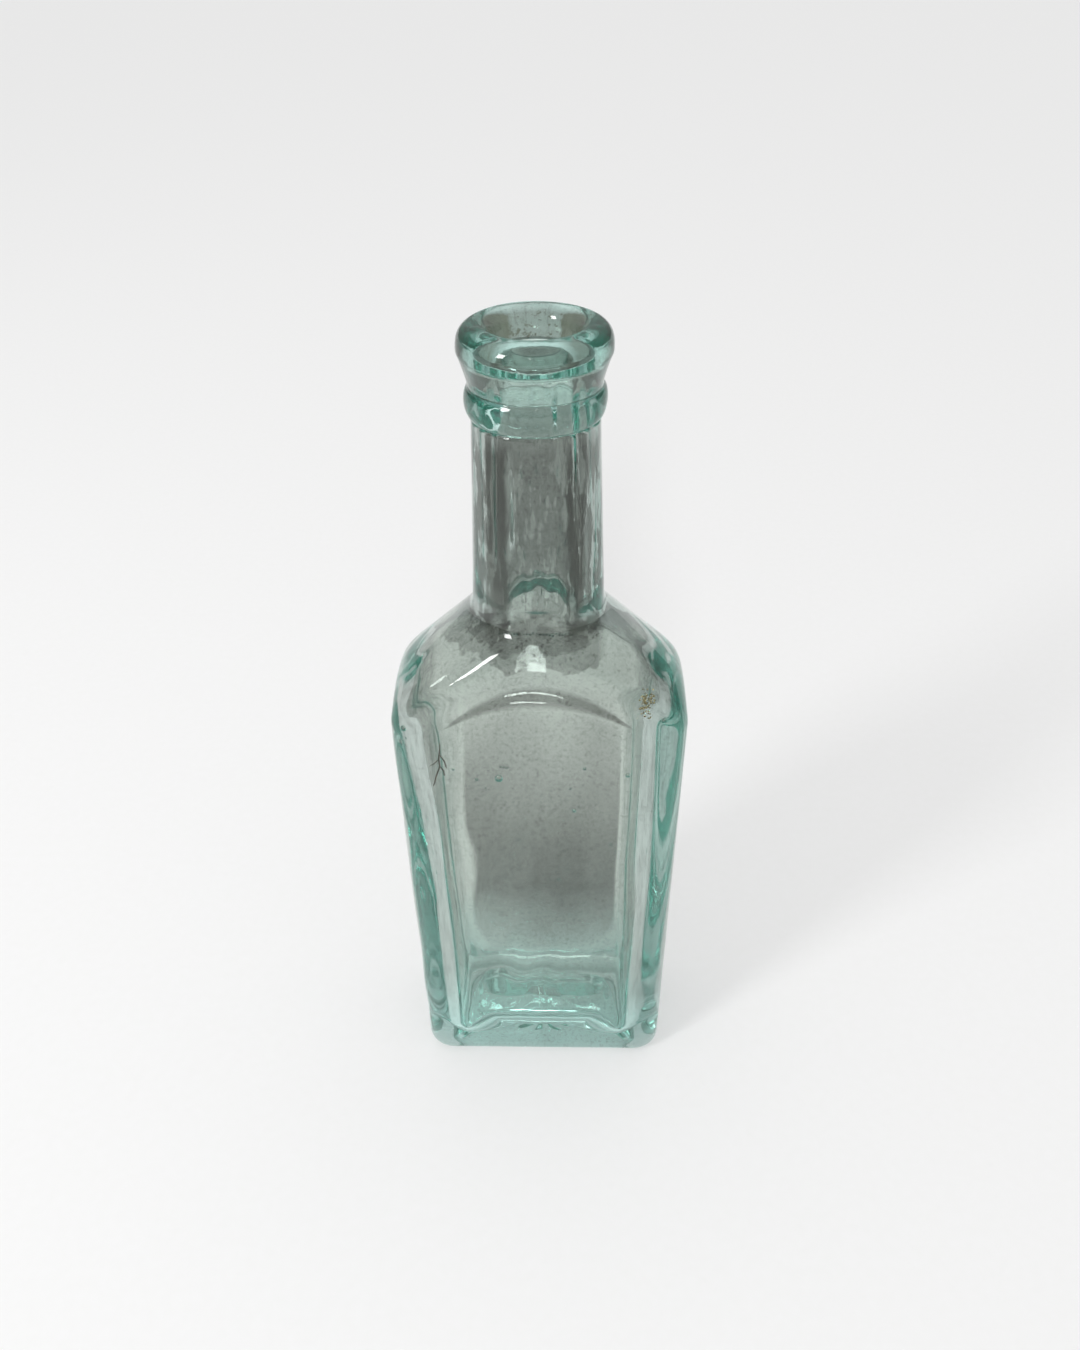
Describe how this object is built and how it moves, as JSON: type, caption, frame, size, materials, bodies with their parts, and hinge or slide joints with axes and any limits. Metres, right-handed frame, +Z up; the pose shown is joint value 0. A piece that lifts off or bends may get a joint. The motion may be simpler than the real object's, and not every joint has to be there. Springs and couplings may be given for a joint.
{
  "type": "glass bottle",
  "caption": "Tall rectangular panel bottle of aqua glass with domed shoulders, a long round neck, a string ring and a flared lip around an open mouth.",
  "frame": {"origin": "centre of the foot, on the surface that the bottle stands on", "axes": "+Z up the neck and out of the mouth, +X across the broad front panel to its right, -Y out of the front panel"},
  "size_m": [0.06, 0.032, 0.1778],
  "materials": {
    "vessel_glass": "clear aqua, mould-blown, lightly rippled, with seeds",
    "ring_glass": "clear aqua, deeper where it is thick",
    "lip_glass": "clear aqua, fire-polished and tooled"
  },
  "bodies": {
    "root": {"blown_vessel": "vessel_glass", "string_ring": "ring_glass", "applied_lip": "lip_glass"}
  },
  "joints": []
}
